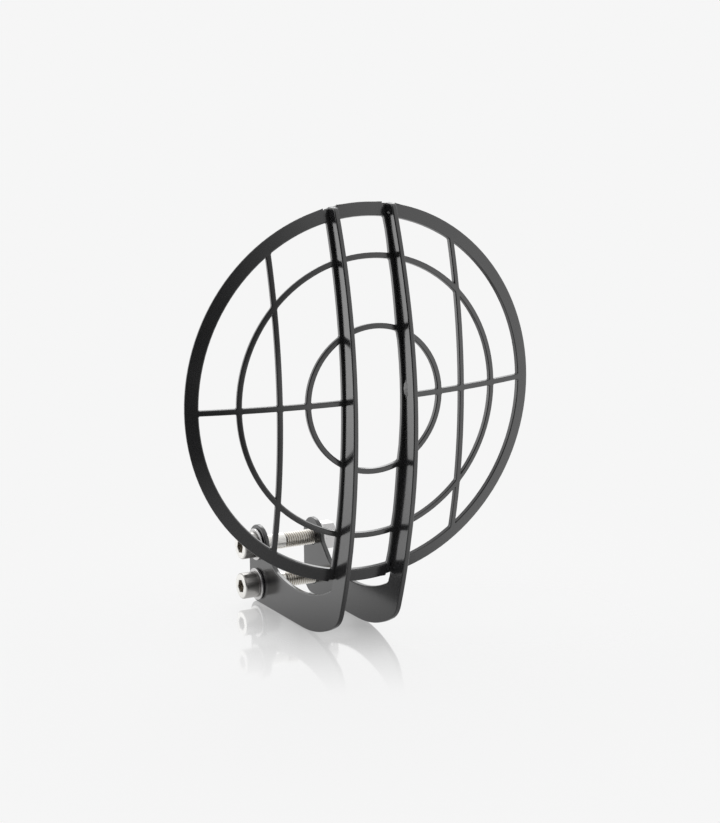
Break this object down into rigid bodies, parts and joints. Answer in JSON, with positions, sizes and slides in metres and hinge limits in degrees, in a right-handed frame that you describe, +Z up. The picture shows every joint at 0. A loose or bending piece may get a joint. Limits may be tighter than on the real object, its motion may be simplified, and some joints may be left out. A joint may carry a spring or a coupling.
{
  "type": "headlight guard",
  "caption": "Domed round grille of slim rings and bars on upright side plates that end in a clamp with cap screws; shields the lens of a round motorcycle headlight.",
  "frame": {"origin": "middle of the clamp: midway between the side plates and midway between the screw axes", "axes": "+X to the right seen from in front, along the screws; +Y to the rear, towards the lamp; +Z up"},
  "size_m": [0.18, 0.1175, 0.21],
  "materials": {
    "black_coating": "black satin coating on aluminium sheet",
    "stainless_steel": "bright turned stainless steel"
  },
  "bodies": {
    "root": {"grille": "black_coating", "right_side_plate": "black_coating", "left_side_plate": "black_coating", "weld_beads": "black_coating", "washers": "stainless_steel", "socket_screws": "stainless_steel", "hex_nuts": "stainless_steel"}
  },
  "joints": []
}
